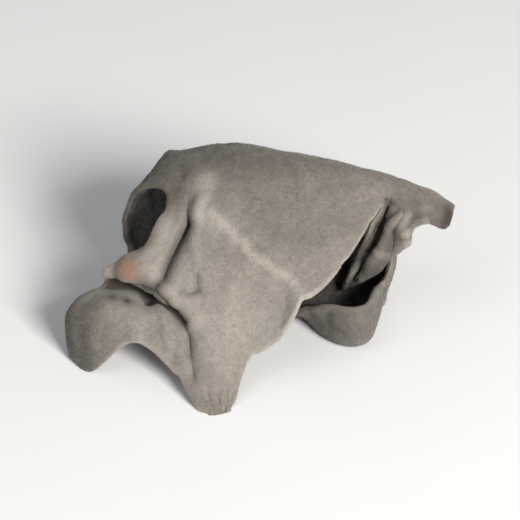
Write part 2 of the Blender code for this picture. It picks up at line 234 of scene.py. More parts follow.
# The rest of the relief, in millimetres unless it says columns or rows.
WAVES = [(0.4, 4.5), (0.25, 1.8)]  # height and length of the sheet's uneven waves
TAUT = 0.75  # how much of the waves is missing where the sheet is drawn taut
TAUT_CREST = (5.2, 0.9)  # the row that is most taut over the crest, and how many rows share in it
TAUT_ROWS = (4.7, 3.9)  # rows, and columns on either side, over which the front panels grow taut
TAUT_LEFT = (3.0, 4.2)
TAUT_RIGHT = (10.4, 9.6)
RIB_HEIGHT = 0.85  # height of the soft ribs down the back
RIB_TURN = 2.1  # radians of rib for each column
RIB_SWAY = 0.9  # how far a rib leans from side to side, in radians, and how often for each row
RIB_ROWS = (5.9, 7.4)  # rows over which the ribs grow to their full height
RIB_COLUMNS = (11.5, 9.5)  # columns over which they do, from the spout's side
GROUND_FADE = (0.6, 3.0)  # heights between which waves and back folds grow from nothing to full
WRINKLE_NET = (0.9, 2.1, 3, 1.0, 2.0)  # the wrinkles' fractal: roughness, step, octaves, offset and gain
WRINKLE_MEAN = 1.2  # what that fractal comes to on average
GATHERS = [(STEM, 0.06, 3.6, 9), (TIP, 0.2, 3.2, 15)]  # centre, height, reach and number of ridges
GATHER_SWAY = 2.5  # how far those ridges bend, in radians
GATHER_START = (0.3, 1.2)  # distances from the centre over which they grow to their full height

# The thickness of the flesh where it isn't that of the sheet, and how far round that reaches.
STEM_REACH = 2.2
THIN_FLESH = 0.55  # at the notch and at the end of the spout
NOTCH_REACH = 2.0
SPOUT_REACH = 3.5

# The margin, in millimetres unless it says columns or rows.
EDGE_LINES = 3  # grid lines bunched up beside each margin, to round it
EDGE_SHARE = 0.01  # the part of the sheet that they take
EDGE_ROUND = 0.45  # how far in from the margin the flesh reaches its full thickness
EDGE_LEFT = 0.3  # the share of the thickness that is left at the very margin
WANDER = 0.06  # how far the margin wanders in, in rows or columns
WANDER_RATE = (1.6, 1.1, 7.0)  # how fast that changes with the column, the row and the number of the margin
WANDER_REACH = (1.0, 0.5)  # rows and columns over which it dies out
# Nicks in the front margin, as (column, depth in rows, width in columns).
NICKS = [(9.45, 0.1, 0.07), (8.7, 0.06, 0.09), (7.85, 0.11, 0.1), (6.2, 0.08, 0.12), (3.2, 0.06, 0.1)]

# The tints, painted highlight and painted shade among them: what the colour of the skin and of its hair
# goes by.
# Widths are in millimetres.
TINTS = ("pale_and_highlight", "hollow_shade", "scarred", "shade_and_wear")
# Painted highlight along the ridge, the rolled rim and the tops of the pale folds; at the margin, partly
# the real pale edge and partly painted highlight.
RIDGE_HIGHLIGHT = (0.85, 0.33)  # how pale the top of the ridge is, and how wide
RIM_HIGHLIGHT = (0.62, 1.0)  # the same for the rolled rim
MARGIN_PALE_AND_HIGHLIGHT = (0.9, 0.4)  # and for the margin
FOLD_TOP_HIGHLIGHT = 0.5  # how pale the tops of the pale folds are
# Pale spots, as (how pale, width, place): painted light over the middle of the front and the top of the
# small lobe, and the real pale end of the stem knob.
PAINTED_LIGHT_AND_PALE_SPOTS = [
    (0.36, 5.0, (5.4, 1.4)),  # the middle of the front
    (1.0, 1.6, (0.1, 3.05)),  # the end of the stem knob
    (0.2, 3.2, (1.2, 1.6)),  # the top of the small lobe
]
# Painted shade at the bottoms of the fine folds that sink in.
FULL_SHADE_DEPTH = 0.6  # a fine fold this deep is darkest at its bottom
HOLLOW_SHADE_SPREAD = 1.15  # how much wider than a fine fold its dark bottom is
SCAR_WIDTH = 1.15
# Zones, as (how strong, ramps). A ramp says what it goes by, where it is nothing and where it is full.
# "slant" is the column plus a share of the row, which follows the ridge across the front.
SLANT = 0.9
# Zones of painted shade: the mouth at the front of the spout's end.
HOLLOW_SHADE_ZONES = [
    (0.75, [("column", 13.35, 13.8), ("row", 4.7, 4.2)]),  # the front of the spout's end
]
# Zones of painted shade over the hood, the crumpled flap, the curled back margin, the lobe's foot and the
# front above the ridge; at the end and the neck of the spout the skin is only made darker.
DARKENED_ZONES = [
    (1.0, [("column", 3.0, 1.4), ("row", 4.5, 5.1), ("row", 9.5, 7.5)]),  # the hood over the stem end
    (0.7, [("column", 10.1, 10.7), ("row", 3.6, 2.4), ("column", 13.6, 12.6)]),  # the crumpled flap
    (0.75, [("row", 7.6, 8.6), ("column", 5.5, 7.0), ("column", 13.0, 12.0)]),  # the curled back margin
    (1.0, [("column", 2.0, 0.9), ("row", 1.8, 0.9)]),  # the foot of the small lobe
    (1.0, [("column", 13.5, 13.95)]),  # the end of the spout
    (0.2, [("column", 11.4, 12.4), ("row", 2.0, 3.0)]),  # the neck of the spout
    (0.42, [("slant", 8.7, 9.9), ("row", 5.0, 4.0)]),  # the front above the ridge
]
# Painted shade over the crest: the row where it is darkest, how many rows share in it, and the columns over
# which it grows to its full strength.
CREST_SHADE = (4.95, 0.7)  # the row that is most worn over the crest, and how many rows share in it
CREST_SHADE_COLUMNS = (15.0, 5.0)  # columns over which that grows to its full strength
WORN_TIP = (0.4, 4.0)  # how worn the tip is, and how wide
# The share of the pale and painted highlight colour where the skin is palest.
PALE_AND_HIGHLIGHT_STRENGTH = 0.75  # the share of the pale colour where the skin is palest
# The share of the painted shade colour at the bottom of a pit or furrow.
HOLLOW_SHADE_STRENGTH = 0.95  # the share of the dark colour at the bottom of a pit

# The hair, as shares of the set length and width unless it says otherwise.
HAIR_LENGTHS = (0.6, 1.25)  # the shortest and the longest
HAIR_WIDTHS = (0.7, 1.3)  # the thinnest and the thickest
LEAN_SPREAD = 0.2  # how much the hairs differ in their lean, in radians
MOST_BARE = 0.95  # the share of the hair that is missing where the skin is darkest or scarred
SPIKE = ((0, 1, 3), (1, 2, 3), (2, 0, 3), (2, 1, 0))  # faces of a hair, whose tip is corner 3
SPIKE_CORNERS = 4
TINIEST = 1e-9  # the least that a vector's length is taken to be

# What the camera sees.
NEAREST = 0.1  # from this share of its distance to the ear
FARTHEST = 10  # out to this many widths of the floor


def through(stations, at):
    """The point on a smooth curve through the stations, at a station number that may be a fraction."""
    last = len(stations) - 1
    first = min(max(int(at), 0), last - 1)
    t = at - first
    a, b = stations[first], stations[first + 1]
    before = stations[first - 1] if first > 0 else a * 2 - b
    after = stations[first + 2] if first + 2 <= last else b * 2 - a
    slope_a = (b - before) / 2
    slope_b = (after - a) / 2
    return (
        a * (2 * t**3 - 3 * t**2 + 1)
        + slope_a * (t**3 - 2 * t**2 + t)
        + b * (3 * t**2 - 2 * t**3)
        + slope_b * (t**3 - t**2)
    )


@lru_cache(maxsize=None)
def stations_at(column):
    """One station of each row of the net, at a column that may be a fraction."""
    return [through(stations, column) for stations in NET]


def sheet_point(column, row):
    """The middle of the flesh before creasing, in millimetres."""
    return through(stations_at(column), row)


def sheet_slopes(column, row):
    """The sheet's run, in millimetres for each column and each row of the net."""
    left, right = max(column - NUDGE, 0), min(column + NUDGE, COLUMNS)
    low, high = max(row - NUDGE, 0), min(row + NUDGE, ROWS)
    along = (sheet_point(right, row) - sheet_point(left, row)) / (right - left)
    over = (sheet_point(column, high) - sheet_point(column, low)) / (high - low)
    return along, over


def path_on_sheet(places):
    """A lookup of the nearest point on a path over the sheet, given its corners' columns and rows."""
    tree = kdtree.KDTree((len(places) - 1) * (PATH_STEPS + 1))
    for start, end in zip(places, places[1:]):
        for step in range(PATH_STEPS + 1):
            place = Vector(start).lerp(Vector(end), step / PATH_STEPS)
            tree.insert(sheet_point(*place), 0)
    tree.balance()
    return tree


def lay_out(folds):
    """The same folds, with each path as a lookup of its nearest point."""
    return [(height, width, path_on_sheet(places)) for height, width, places in folds]


def hump(distance, width):
    """1 on the spot, falling smoothly to nothing over about twice the width."""
    return math.exp(-((distance / width) ** 2))


def share_between(value, low, high):
    """0 at or below low, 1 at or above high, and in proportion between."""
    return min(max((value - low) / (high - low), 0.0), 1.0)


def near(path, point, width):
    """1 on a path, falling smoothly to nothing over about twice the width."""
    return hump(path.find(point)[2], width)


def zone(ramps, column, row):
    """How much of a zone's tint is here, from 0 to 1."""
    at = {"column": column, "row": row, "slant": column + SLANT * row}
    return math.prod(share_between(at[along], none, full) for along, none, full in ramps)


def crease_height(creases, point):
    """Height of the crisp creases here."""
    total = 0.0
    for height, width, path in creases:
        distance = math.hypot(path.find(point)[2], CREASE_NOSE) - CREASE_NOSE
        total += height * math.exp(-distance / width)
    return total


def fold_height(folds, point):
    """Height of the round folds here."""
    return sum(height * near(path, point, width) for height, width, path in folds)


def pit_depth(pits, point):
    """How deep the small pits sink in here."""
    return sum(depth * hump((point - place).length, width) for depth, width, dark, place in pits)


def back_ribs(column, row):
    """Soft ribs down the back, from below the crest to the ground, dying out before the spout."""
    here = share_between(row, *RIB_ROWS) * share_between(column, *RIB_COLUMNS)
    return RIB_HEIGHT * here * math.sin(RIB_TURN * column + RIB_SWAY * math.sin(RIB_SWAY * row))


def calm(column, row):
    """The share of the waves that is left here, which is small on the front panels and over the crest."""
    panels = share_between(column, *TAUT_LEFT) * share_between(column, *TAUT_RIGHT)
    panels *= share_between(row, *TAUT_ROWS)
    return 1 - TAUT * max(panels, hump(row - TAUT_CREST[0], TAUT_CREST[1]))


def gathers(place, slopes, centre, height, reach, count):
    """Small ridges that fan out from a spot, as where the drying flesh was drawn together."""
    along, over = slopes
    across = (place[0] - centre[0]) * along.length
    up = (place[1] - centre[1]) * over.length
    distance = math.hypot(across, up)
    turn = math.atan2(up, across) * count + GATHER_SWAY * noise.noise(Vector((across, up, 0.0)) / reach)
    return height * math.sin(turn) * hump(distance, reach) * share_between(distance, *GATHER_START)


def wandering(column, row):
    """The same place on the net, drawn in a little where the margin wanders or is nicked."""
    by_column, by_row, by_side = WANDER_RATE
    samples = [Vector((column * by_column, row * by_row, side * by_side)) for side in range(4)]
    front, back, stem, spout = (WANDER * (0.5 + 0.5 * noise.noise(sample)) for sample in samples)
    nick = sum(depth * hump(column - at, width) for at, depth, width in NICKS)
    rows, columns = WANDER_REACH
    row += (front + nick) * share_between(row, rows, 0.0)
    row -= back * share_between(row, ROWS - rows, ROWS)
    column += stem * share_between(column, columns, 0.0)
    column -= spout * share_between(column, COLUMNS - columns, COLUMNS)
    return column, row


def grid_line(index, cells):
    """Where a grid line lies, from 0 to 1: evenly spread, but bunched up beside both margins."""
    from_end = min(index, cells - index)
    share = EDGE_SHARE * (from_end / EDGE_LINES) ** 2
    if from_end > EDGE_LINES:
        share = EDGE_SHARE + (0.5 - EDGE_SHARE) * (from_end - EDGE_LINES) / (cells / 2 - EDGE_LINES)
    return share if index <= cells / 2 else 1 - share


def from_margin(place, slopes):
    """How far in from the nearest margin a place is, in millimetres."""
    column, row = place
    along = min(column, COLUMNS - column) * slopes[0].length
    over = min(row, ROWS - row) * slopes[1].length
    return min(along, over)


class Creasing:
    """Everything that is raised on the smooth sheet, laid out once and then asked for at each place."""

    def __init__(self, settings):
        self.settings = settings
        self.creases = lay_out(CREASES)
        self.folds = lay_out(FOLDS)
        self.fine = lay_out(FINE_FOLDS)
        self.highlighted_folds = lay_out(HIGHLIGHTED_FOLDS)
        self.back = lay_out(BACK_CREASES)
        self.ridge = self.creases[0][2]
        self.rim = self.folds[0][2]
        self.pits = [(depth, width, dark, sheet_point(*place)) for depth, width, dark, place in PITS]
        self.painted_light_and_pale_spots = [(share, width, sheet_point(*place)) for share, width, place in PAINTED_LIGHT_AND_PALE_SPOTS]
        self.stem = sheet_point(*STEM)
        self.scar = sheet_point(*SCAR)
        self.tip = sheet_point(*TIP)
        self.notch = sheet_point(*NOTCH)
        self.spout = sheet_point(*SPOUT)

    def wrinkles(self, point):
        """The fine net of ridges that the skin shrank into."""
        size = self.settings.wrinkle_size / MM
        net = noise.ridged_multi_fractal(point / size, *WRINKLE_NET)
        return self.settings.wrinkle_height / MM * (net - WRINKLE_MEAN)

    def relief(self, place, point, slopes):
        """How far the sheet stands out from its smooth form here, in millimetres."""
        loose = crease_height(self.back, point) + back_ribs(*place)
        loose += calm(*place) * sum(height * noise.noise(point / length) for height, length in WAVES)
        loose += self.wrinkles(point)
        fixed = crease_height(self.creases, point) + fold_height(self.folds, point)
        fixed += fold_height(self.fine, point) + fold_height(self.highlighted_folds, point)
        fixed -= pit_depth(self.pits, point)
        fixed += sum(gathers(place, slopes, *spot) for spot in GATHERS)
        return fixed + loose * share_between(point.z, *GROUND_FADE)

    def flesh(self, place, point, slopes):
        """The thickness of the flesh here, in millimetres."""
        sheet = self.settings.flesh / MM
        stem = self.settings.stem_flesh / MM
        thick = sheet + (stem - sheet) * hump((point - self.stem).length, STEM_REACH)
        thick += (THIN_FLESH - sheet) * hump((point - self.notch).length, NOTCH_REACH)
        thick += (THIN_FLESH - sheet) * hump((point - self.spout).length, SPOUT_REACH)
        inward = share_between(from_margin(place, slopes), 0.0, EDGE_ROUND)
        return thick * max(math.sqrt(1 - (1 - inward) ** 2), EDGE_LEFT)

    def shade_and_wear(self, place, point):
        """How much painted shade and wear the skin has here: shade over its darker zones and the crest,
        wear at the tip.
        """
        column, row = place
        shade_and_wear = sum(share * zone(ramps, column, row) for share, ramps in DARKENED_ZONES)
        middle, reach = CREST_SHADE
        shade_and_wear += hump(row - middle, reach) * share_between(column, *CREST_SHADE_COLUMNS)
        share, width = WORN_TIP
        shade_and_wear += share * hump((point - self.tip).length, width)
        return min(shade_and_wear, 1.0)

    def hollow_shade(self, place, point):
        """How much shade is painted on the skin here, where it lies in a pit or a furrow."""
        hollow_shade = sum(
            min((height / FULL_SHADE_DEPTH) ** 2, 1.0) * near(path, point, width * HOLLOW_SHADE_SPREAD)
            for height, width, path in self.fine
            if height < 0
        )
        hollow_shade += sum(dark * hump((point - pit).length, width) for depth, width, dark, pit in self.pits)
        hollow_shade += sum(share * zone(ramps, *place) for share, ramps in HOLLOW_SHADE_ZONES)
        return min(hollow_shade, 1.0)

    def pale_and_highlight(self, point, inset, shade_and_wear):
        """How pale the skin is here, painted highlights included, this far in from the margin and with this
        much painted shade and wear.
        """
        share, width = RIDGE_HIGHLIGHT
        pale_and_highlight = share * near(self.ridge, point, width)
        share, width = MARGIN_PALE_AND_HIGHLIGHT
        pale_and_highlight += share * hump(inset, width) * (1 - shade_and_wear)
        share, width = RIM_HIGHLIGHT
        pale_and_highlight += share * near(self.rim, point, width)
        pale_and_highlight += FOLD_TOP_HIGHLIGHT * sum(near(path, point, width) for height, width, path in self.highlighted_folds)
        pale_and_highlight += sum(share * hump((point - spot).length, width) for share, width, spot in self.painted_light_and_pale_spots)
        return min(pale_and_highlight, 1.0)

    def tints(self, place, point, slopes):
        """How much pale and painted highlight, painted shade in hollows, scar, and painted shade and wear
        the skin has here, each from 0 to 1.
        """
        shade_and_wear = self.shade_and_wear(place, point)
        pale_and_highlight = self.pale_and_highlight(point, from_margin(place, slopes), shade_and_wear)
        scarred = hump((point - self.scar).length, SCAR_WIDTH)
        return pale_and_highlight, self.hollow_shade(place, point), scarred, shade_and_wear


def make_sheet(settings):
    """The creased sheet with its tints, but no thickness, and how thick the flesh is at each vertex."""
    creasing = Creasing(settings)
    across, over = settings.across_cells, settings.over_cells
    mesh = bpy.data.meshes.new("ear_flesh")
    bm = bmesh.new()
    bmesh.ops.create_grid(bm, x_segments=across, y_segments=over, size=0.5)  # from -0.5 to 0.5 each way
    layers = [bm.verts.layers.float.new(name) for name in TINTS]
    shares = []
    for vert in bm.verts:
        column = grid_line(round((vert.co.x + 0.5) * across), across) * COLUMNS
        row = grid_line(round((vert.co.y + 0.5) * over), over) * ROWS
        place = wandering(column, row)
        point = sheet_point(*place)
        slopes = sheet_slopes(*place)
        outward = slopes[0].cross(slopes[1]).normalized()
        raised = point + outward * creasing.relief(place, point, slopes)
        vert.co = (raised - Vector((*CENTRE, 0))) * MM
        shares.append(creasing.flesh((column, row), point, slopes) * MM / settings.stem_flesh)
        for layer, amount in zip(layers, creasing.tints((column, row), point, slopes)):
            vert[layer] = amount
    bm.to_mesh(mesh)
    bm.free()
    return mesh, shares


def give_thickness(sheet, shares, settings):
    """The sheet's mesh with its thickness baked in, its feet pressed flat where they stand."""
    flesh = sheet.vertex_groups.new(name="flesh")
    for index, share in enumerate(shares):
        flesh.add([index], share, "REPLACE")
    shell = sheet.modifiers.new("flesh", "SOLIDIFY")
    shell.thickness = settings.stem_flesh
    shell.vertex_group = flesh.name
    shell.offset = 0.0
    shell.material_offset = 1
    shell.material_offset_rim = 2
    graph = bpy.context.evaluated_depsgraph_get()
    mesh = bpy.data.meshes.new_from_object(sheet.evaluated_get(graph))
    sheet.modifiers.clear()
    sheet.vertex_groups.clear()
    for vert in mesh.vertices:
        vert.co.z = max(vert.co.z, 0.0)
    mesh.shade_smooth()
    return mesh


def add_piece(name, data):
    """A new object in the scene, made of this mesh, light or camera."""
    piece = bpy.data.objects.new(name, data)
    bpy.context.scene.collection.objects.link(piece)
    return piece


# Materials


def feed(tree, node, inputs):
    """Give each of these inputs of a node its value, or the socket that feeds it."""
    for name, value in inputs.items():
        if isinstance(value, NodeSocket):
            tree.links.new(value, node.inputs[name])
        else:
            node.inputs[name].default_value = value


def add_node(tree, kind, inputs=None, **options):
    """A new node with these options and inputs."""
    made = tree.nodes.new(kind)
    for name, value in options.items():
        setattr(made, name, value)
    feed(tree, made, inputs or {})
    return made


def grain(tree, size, detail, shift=0.0, roughness=0.5):
    """Cloudy noise fixed to the piece, with lumps of this size in metres."""
    place = add_node(tree, "ShaderNodeTexCoord").outputs["Object"]
    moved = add_node(tree, "ShaderNodeMapping", {"Vector": place, "Location": (shift, shift, shift)})
    inputs = {"Vector": moved.outputs[0], "Scale": 1 / size, "Detail": detail, "Roughness": roughness}
    return add_node(tree, "ShaderNodeTexNoise", inputs).outputs["Fac"]


def clouds(tree, spread, to=(0.0, 1.0), **look):
    """Grain, with one range of it spread over another and held at the ends."""
    inputs = {
        "Value": grain(tree, **look),
        "From Min": spread[0],
        "From Max": spread[1],
        "To Min": to[0],
        "To Max": to[1],
    }
    return add_node(tree, "ShaderNodeMapRange", inputs).outputs["Result"]


def tint(tree, name):
    """One of the tints that the flesh carries."""
    return add_node(tree, "ShaderNodeAttribute", attribute_name=name).outputs["Fac"]


def mix(tree, share, first, second, blend="MIX"):
    """The first colour going over to the second by this share."""
    inputs = {0: share, 6: first, 7: second}
    return add_node(tree, "ShaderNodeMix", inputs, data_type="RGBA", blend_type=blend).outputs[2]


def shaded(tree, colour, shade):
    """The colour made darker or paler, by a shade that is 1 where it stays as it is."""
    return mix(tree, 1.0, colour, shade, blend="MULTIPLY")


def times(tree, first, second):
    """Two values multiplied."""
    return add_node(tree, "ShaderNodeMath", {0: first, 1: second}, operation="MULTIPLY").outputs[0]


def plus(tree, first, second):
    """Two values added."""
    return add_node(tree, "ShaderNodeMath", {0: first, 1: second}, operation="ADD").outputs[0]


def bump(tree, height, depth):
    """A bumpy normal, where a height of 1 stands out by this depth in metres."""
    inputs = {"Height": height, "Distance": depth, "Strength": 1.0}
    return add_node(tree, "ShaderNodeBump", inputs).outputs["Normal"]


def new_finish(name):
    """A new material, its node tree and its surface shader."""
    material = bpy.data.materials.new(name)
    material.use_nodes = True
    tree = material.node_tree
    return material, tree, tree.nodes["Principled BSDF"]


def with_alpha(colour):
    """The colour with nothing let through, as a socket takes it."""
    return (*colour, 1.0)


def tinted(tree, colour, colours):
    """The colour of skin or hair, with painted shade and wear, pale and painted highlights, painted shade
    in its hollows, and the scar laid over it.
    """
    patchy = clouds(tree, (0.36, 0.58), (0.72, 1.0), size=0.0014, detail=4.0, shift=1.1, roughness=0.65)
    broken = clouds(tree, (0.36, 0.5), (0.45, 1.0), size=0.0004, detail=3.0, shift=1.9)
    for name, strength, over in (
        ("shade_and_wear", patchy, colours.velvet_worn_and_shade),
        ("pale_and_highlight", PALE_AND_HIGHLIGHT_STRENGTH, colours.pale_and_highlight),
        ("hollow_shade", HOLLOW_SHADE_STRENGTH, colours.hollow_shade),
        ("scarred", broken, colours.scar),
    ):
        colour = mix(tree, times(tree, tint(tree, name), strength), colour, with_alpha(over))
    return colour


def velvet_skin(colours):
    """The outer side: matted grey-tan hair, with painted highlights on its creases and painted shade in its
    pits.
    """
    material, tree, surface = new_finish("velvet_skin")
    patches = clouds(tree, (0.4, 0.64), size=0.009, detail=3.0)
    skin = mix(tree, patches, with_alpha(colours.velvet), with_alpha(colours.velvet_cool))
    thin = clouds(tree, (0.5, 0.74), (0.0, 0.28), size=0.0035, detail=4.0, shift=0.3, roughness=0.6)
    skin = mix(tree, thin, skin, with_alpha(colours.velvet_worn_and_shade))
    mottle = clouds(tree, (0.36, 0.64), (0.88, 1.1), size=0.0005, detail=3.0, shift=0.7, roughness=0.65)
    fibres = grain(tree, size=0.00016, detail=2.0, shift=0.2)
    tufts = grain(tree, size=0.0006, detail=3.0, shift=0.9)
    looks = {
        "Base Color": tinted(tree, shaded(tree, skin, mottle), colours),
        "Normal": bump(tree, plus(tree, fibres, tufts), depth=0.00006),
        "Roughness": 0.92,
        "Specular IOR Level": 0.25,
        "Sheen Weight": 0.25,
        "Sheen Roughness": 0.55,
        "Sheen Tint": (0.95, 0.92, 0.88, 1.0),
    }
    feed(tree, surface, looks)
    return material


def smooth_lining(colours):
    """The inner side: dark, dull and leathery, with a faint grey bloom."""
    material, tree, surface = new_finish("smooth_lining")
    bloom = clouds(tree, (0.42, 0.7), size=0.004, detail=4.0, shift=0.4, roughness=0.6)
    lining = mix(tree, bloom, with_alpha(colours.lining), with_alpha(colours.bloom))
    mottle = clouds(tree, (0.35, 0.65), (0.75, 1.2), size=0.0005, detail=3.0, shift=1.3)
    fine = grain(tree, size=0.0009, detail=3.0, shift=0.6, roughness=0.6)
    coarse = grain(tree, size=0.0028, detail=2.0, shift=0.1)
    looks = {
        "Base Color": shaded(tree, lining, mottle),
        "Normal": bump(tree, plus(tree, fine, coarse), depth=0.00018),
        "Roughness": clouds(tree, (0.35, 0.65), (0.42, 0.7), size=0.002, detail=3.0, shift=2.1),
        "Specular IOR Level": 0.45,
    }
    feed(tree, surface, looks)
    return material


def dried_margin(colours):
    """The margin, where the dark flesh shows between the velvet and the lining."""
    material, tree, surface = new_finish("dried_margin")
    shares = clouds(tree, (0.38, 0.62), size=0.0012, detail=3.0, shift=0.5)
    rim = mix(tree, shares, with_alpha(colours.margin), with_alpha(colours.pale_and_highlight))
    looks = {
        "Base Color": tinted(tree, rim, colours),
        "Normal": bump(tree, grain(tree, size=0.0003, detail=2.0), depth=0.00006),
        "Roughness": 0.75,
    }
    feed(tree, surface, looks)
    return material


def matted_hair(colours):
    """The hairs of the velvet, each a little paler or darker than the next."""
    material, tree, surface = new_finish("matted_hair")
    hair = mix(tree, tint(tree, "tone"), with_alpha(colours.hair_dark), with_alpha(colours.hair_pale))
    patches = clouds(tree, (0.42, 0.62), (1.0, 0.86), size=0.007, detail=3.0)
    looks = {
        # The hairs carry the same painted highlights and painted shade as the skin beneath them.
        "Base Color": tinted(tree, shaded(tree, hair, patches), colours),
        "Roughness": 0.85,
        "Specular IOR Level": 0.25,
    }
    feed(tree, surface, looks)
    return material


def pale_floor(stage):
    """The plain floor."""
    material, tree, surface = new_finish("pale_floor")
    patches = clouds(tree, (0.3, 0.7), (0.985, 1.0), size=0.02, detail=2.0)
    feed(tree, surface, {"Base Color": shaded(tree, with_alpha(stage.floor), patches), "Roughness": 0.8})
    return material


# Hairs


def outer_skin(mesh):
    """The velvety side's triangles, as arrays: their corners' places, normals and numbers, and areas."""
    mesh.calc_loop_triangles()
    count = len(mesh.loop_triangles)
    corners = np.empty(count * 3, np.int32)
    mesh.loop_triangles.foreach_get("vertices", corners)
    slots = np.empty(count, np.int32)
    mesh.loop_triangles.foreach_get("material_index", slots)
    areas = np.empty(count, np.float32)
    mesh.loop_triangles.foreach_get("area", areas)
    places = np.empty(len(mesh.vertices) * 3, np.float32)
    mesh.vertices.foreach_get("co", places)
    normals = np.empty(len(mesh.vertices) * 3, np.float32)
    mesh.vertices.foreach_get("normal", normals)
    corners = corners.reshape(-1, 3)[slots == 0]
    return places.reshape(-1, 3)[corners], normals.reshape(-1, 3)[corners], corners, areas[slots == 0]


def unit(vectors):
    """The same vectors, each made 1 long."""
    return vectors / np.maximum(np.linalg.norm(vectors, axis=-1, keepdims=True), TINIEST)


def tints_of(mesh):
    """The tints of each vertex, as an array with a column for each."""
    tints = np.zeros((len(TINTS), len(mesh.vertices)), np.float32)
    for name, values in zip(TINTS, tints):
        mesh.attributes[name].data.foreach_get("value", values)
    return tints.T


def scatter(mesh, count, chance):
    """Random places on the velvety side, with the way out of the skin and its tints at each."""
    places, normals, corners, areas = outer_skin(mesh)
    tints = tints_of(mesh)[corners]
    bare = tints[:, :, TINTS.index("hollow_shade")] + tints[:, :, TINTS.index("scarred")]
    weights = areas.astype(float) * (1 - np.clip(bare.mean(axis=1), 0, MOST_BARE))
    chosen = chance.choice(len(areas), count, p=weights / weights.sum())
    shares = chance.dirichlet((1.0, 1.0, 1.0), count)[:, :, None]
    roots, outward, tints = ((values[chosen] * shares).sum(axis=1) for values in (places, normals, tints))
    return roots, unit(outward), tints


def lean(outward, settings, chance):
    """The way that each hair points, laid over sideways and mostly downhill, and the way across it."""
    downhill = np.array([0.0, 0.0, -settings.downhill])
    sideways = downhill + chance.normal(size=outward.shape)
    sideways = unit(sideways - (sideways * outward).sum(axis=1, keepdims=True) * outward)
    angle = settings.lean + chance.normal(0, LEAN_SPREAD, (len(outward), 1))
    return unit(outward * np.cos(angle) + sideways * np.sin(angle)), np.cross(outward, sideways)


def spikes(roots, ways, sides, lengths, widths):
    """The corners of one three-sided spike for each hair: three round its root, then its tip."""
    across = np.cross(ways, sides)
    turns = (0, math.tau / 3, math.tau * 2 / 3)
    corners = [roots + widths / 2 * (math.cos(turn) * sides + math.sin(turn) * across) for turn in turns]
    corners.append(roots + lengths * ways)
    return np.stack(corners, axis=1)


def hair_mesh(name, skin, settings, chance):
    """One piece of the velvet: thousands of closed spikes joined in one mesh."""
    count = settings.hairs
    roots, outward, tints = scatter(skin, count, chance)
    ways, sides = lean(outward, settings, chance)
    lengths = settings.length * chance.uniform(*HAIR_LENGTHS, (count, 1))
    widths = settings.width * chance.uniform(*HAIR_WIDTHS, (count, 1))
    roots = roots - outward * settings.width  # just inside the skin
    corners = spikes(roots, ways, sides, lengths, widths).reshape(-1, 3)
    corners[:, 2] = np.maximum(corners[:, 2], 0.0)
    faces = (np.arange(count)[:, None, None] * SPIKE_CORNERS + np.array(SPIKE)).reshape(-1, 3)
    mesh = bpy.data.meshes.new(name)
    mesh.from_pydata(corners, [], faces)
    tones = np.column_stack([chance.uniform(0, 1, count), tints]).astype(np.float32)
    for layer, values in zip(("tone", *TINTS), tones.T):
        values = np.repeat(values, SPIKE_CORNERS)
        mesh.attributes.new(layer, "FLOAT", "POINT").data.foreach_set("value", values)
    return mesh


# Settings


class FleshSettings(PropertyGroup):
    """Sizes of the dried sheet."""

    flesh: FloatProperty(
        name="Flesh",
        description="Thickness of the dried sheet",
        default=0.95 * MM,
        unit="LENGTH",
        precision=5,
    )
    stem_flesh: FloatProperty(
        name="Stem", description="Thickness at the stem", default=1.9 * MM, unit="LENGTH", precision=5
    )
    wrinkle_height: FloatProperty(
        name="Wrinkle height",
        description="How far the shrinkage wrinkles stand out",
        default=0.07 * MM,
        unit="LENGTH",
        precision=5,
    )
    wrinkle_size: FloatProperty(
        name="Wrinkle size",
        description="Distance between shrinkage wrinkles",
        default=1.9 * MM,
        unit="LENGTH",
        precision=5,
    )
    across_cells: IntProperty(
        name="Faces across", description="Faces from the stem end to the spout", default=236, min=40
    )
    over_cells: IntProperty(
        name="Faces over",
        description="Faces from the front margin over to the back margin",
        default=200,
        min=40,
    )


class ColourSettings(PropertyGroup):
    """Colours of the skin, the lining and the hair."""

    velvet: FloatVectorProperty(
        name="Velvet", description="The outer side", default=(0.235, 0.205, 0.176), subtype="COLOR"
    )
    velvet_cool: FloatVectorProperty(
        name="Cool velvet",
        description="The outer side's greyer patches",
        default=(0.205, 0.187, 0.168),
        subtype="COLOR",
    )
    # Worn patches of the velvet, and also the painted shade over the hood, flap, back margin, lobe's foot,
    # crest and front above the ridge.
    velvet_worn_and_shade: FloatVectorProperty(
        name="Worn velvet",
        description="Where the hair has worn thin",
        default=(0.085, 0.074, 0.062),
        subtype="COLOR",
    )
    # Painted highlight on the ridge, the rim and the fold tops, painted light on the front and the lobe,
    # and the real pale of the margin.
    pale_and_highlight: FloatVectorProperty(
        name="Pale",
        description="Crease tops and the margin",
        default=(0.36, 0.322, 0.278),
        subtype="COLOR",
    )
    # Painted shade in the pits and furrows.
    hollow_shade: FloatVectorProperty(
        name="Sunken",
        description="The bottoms of pits and furrows",
        default=(0.028, 0.021, 0.016),
        subtype="COLOR",
    )
    scar: FloatVectorProperty(
        name="Scar",
        description="Where the stem broke from the wood",
        default=(0.235, 0.125, 0.08),
        subtype="COLOR",
    )
    lining: FloatVectorProperty(
        name="Lining", description="The inner side", default=(0.05, 0.043, 0.038), subtype="COLOR"
    )
    bloom: FloatVectorProperty(
        name="Bloom",
        description="The grey dust on the inner side",
        default=(0.12, 0.11, 0.104),
        subtype="COLOR",
    )
    margin: FloatVectorProperty(
        name="Margin",
        description="The flesh that shows at the margin",
        default=(0.24, 0.205, 0.168),
        subtype="COLOR",
    )
    hair_dark: FloatVectorProperty(
        name="Dark hair", description="The darkest hairs", default=(0.16, 0.139, 0.117), subtype="COLOR"
    )
    hair_pale: FloatVectorProperty(
        name="Pale hair", description="The palest hairs", default=(0.34, 0.305, 0.267), subtype="COLOR"
    )


